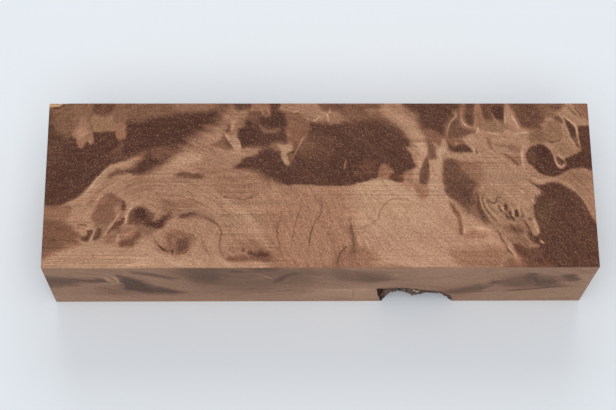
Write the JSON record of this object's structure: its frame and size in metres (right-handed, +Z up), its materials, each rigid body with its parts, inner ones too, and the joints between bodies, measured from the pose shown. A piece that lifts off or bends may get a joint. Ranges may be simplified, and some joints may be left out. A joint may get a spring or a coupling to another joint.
{
  "type": "stabilized burl blank",
  "caption": "Rectangular blank of figured, resin-stabilized burl wood with a natural bark void in one lower edge, for shaping into handles or small turned work.",
  "frame": {"origin": "middle of the bottom face, on the surface that the blank rests on", "axes": "+X along the blank's length to the right, +Y from the front face (with the void) to the back, +Z up through the thickness"},
  "size_m": [0.14, 0.045, 0.029],
  "materials": {
    "burl_wood": "dry-sanded, resin-filled"
  },
  "bodies": {
    "root": {"burl_blank": "burl_wood"}
  },
  "joints": []
}
